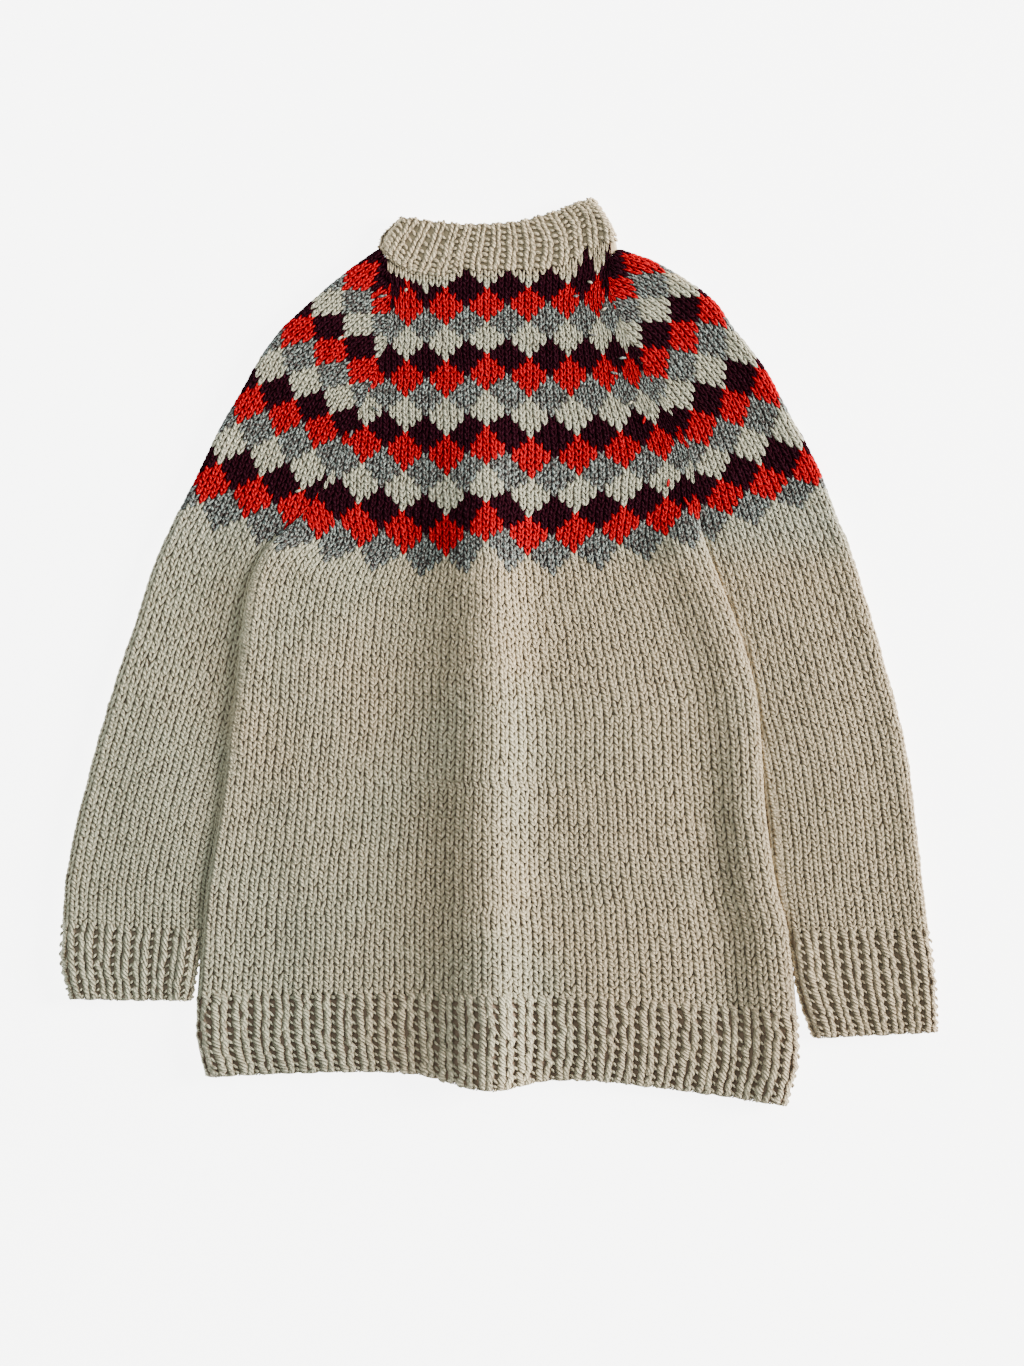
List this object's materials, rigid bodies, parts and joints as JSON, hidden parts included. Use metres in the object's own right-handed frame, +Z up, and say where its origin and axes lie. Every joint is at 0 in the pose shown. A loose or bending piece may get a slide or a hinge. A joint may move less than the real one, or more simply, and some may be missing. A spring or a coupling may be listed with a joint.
{
  "type": "hand-knitted yoke sweater laid flat",
  "caption": "Bulky knitted pullover with a ribbed mock neck, a diamond-patterned yoke, raglan sleeves and ribbed hem and cuffs, lying flat.",
  "frame": {"origin": "centre of the bounding box's base, on the surface that the sweater lies on", "axes": "+X across the garment towards the right of the picture, +Y from the hem towards the neck, +Z up from the surface"},
  "size_m": [0.7534, 0.7786, 0.0269],
  "materials": {
    "knit": "thick heather wool in stocking stitch, matt and slightly hairy",
    "rib": "thick heather wool in single rib, matt and slightly hairy"
  },
  "bodies": {
    "root": {"front": "knit", "back": "knit", "sleeve_left": "knit", "sleeve_right": "knit", "neckband": "rib", "front_hem_rib": "rib", "back_hem_rib": "rib", "cuff_left": "rib", "cuff_right": "rib"}
  },
  "joints": []
}
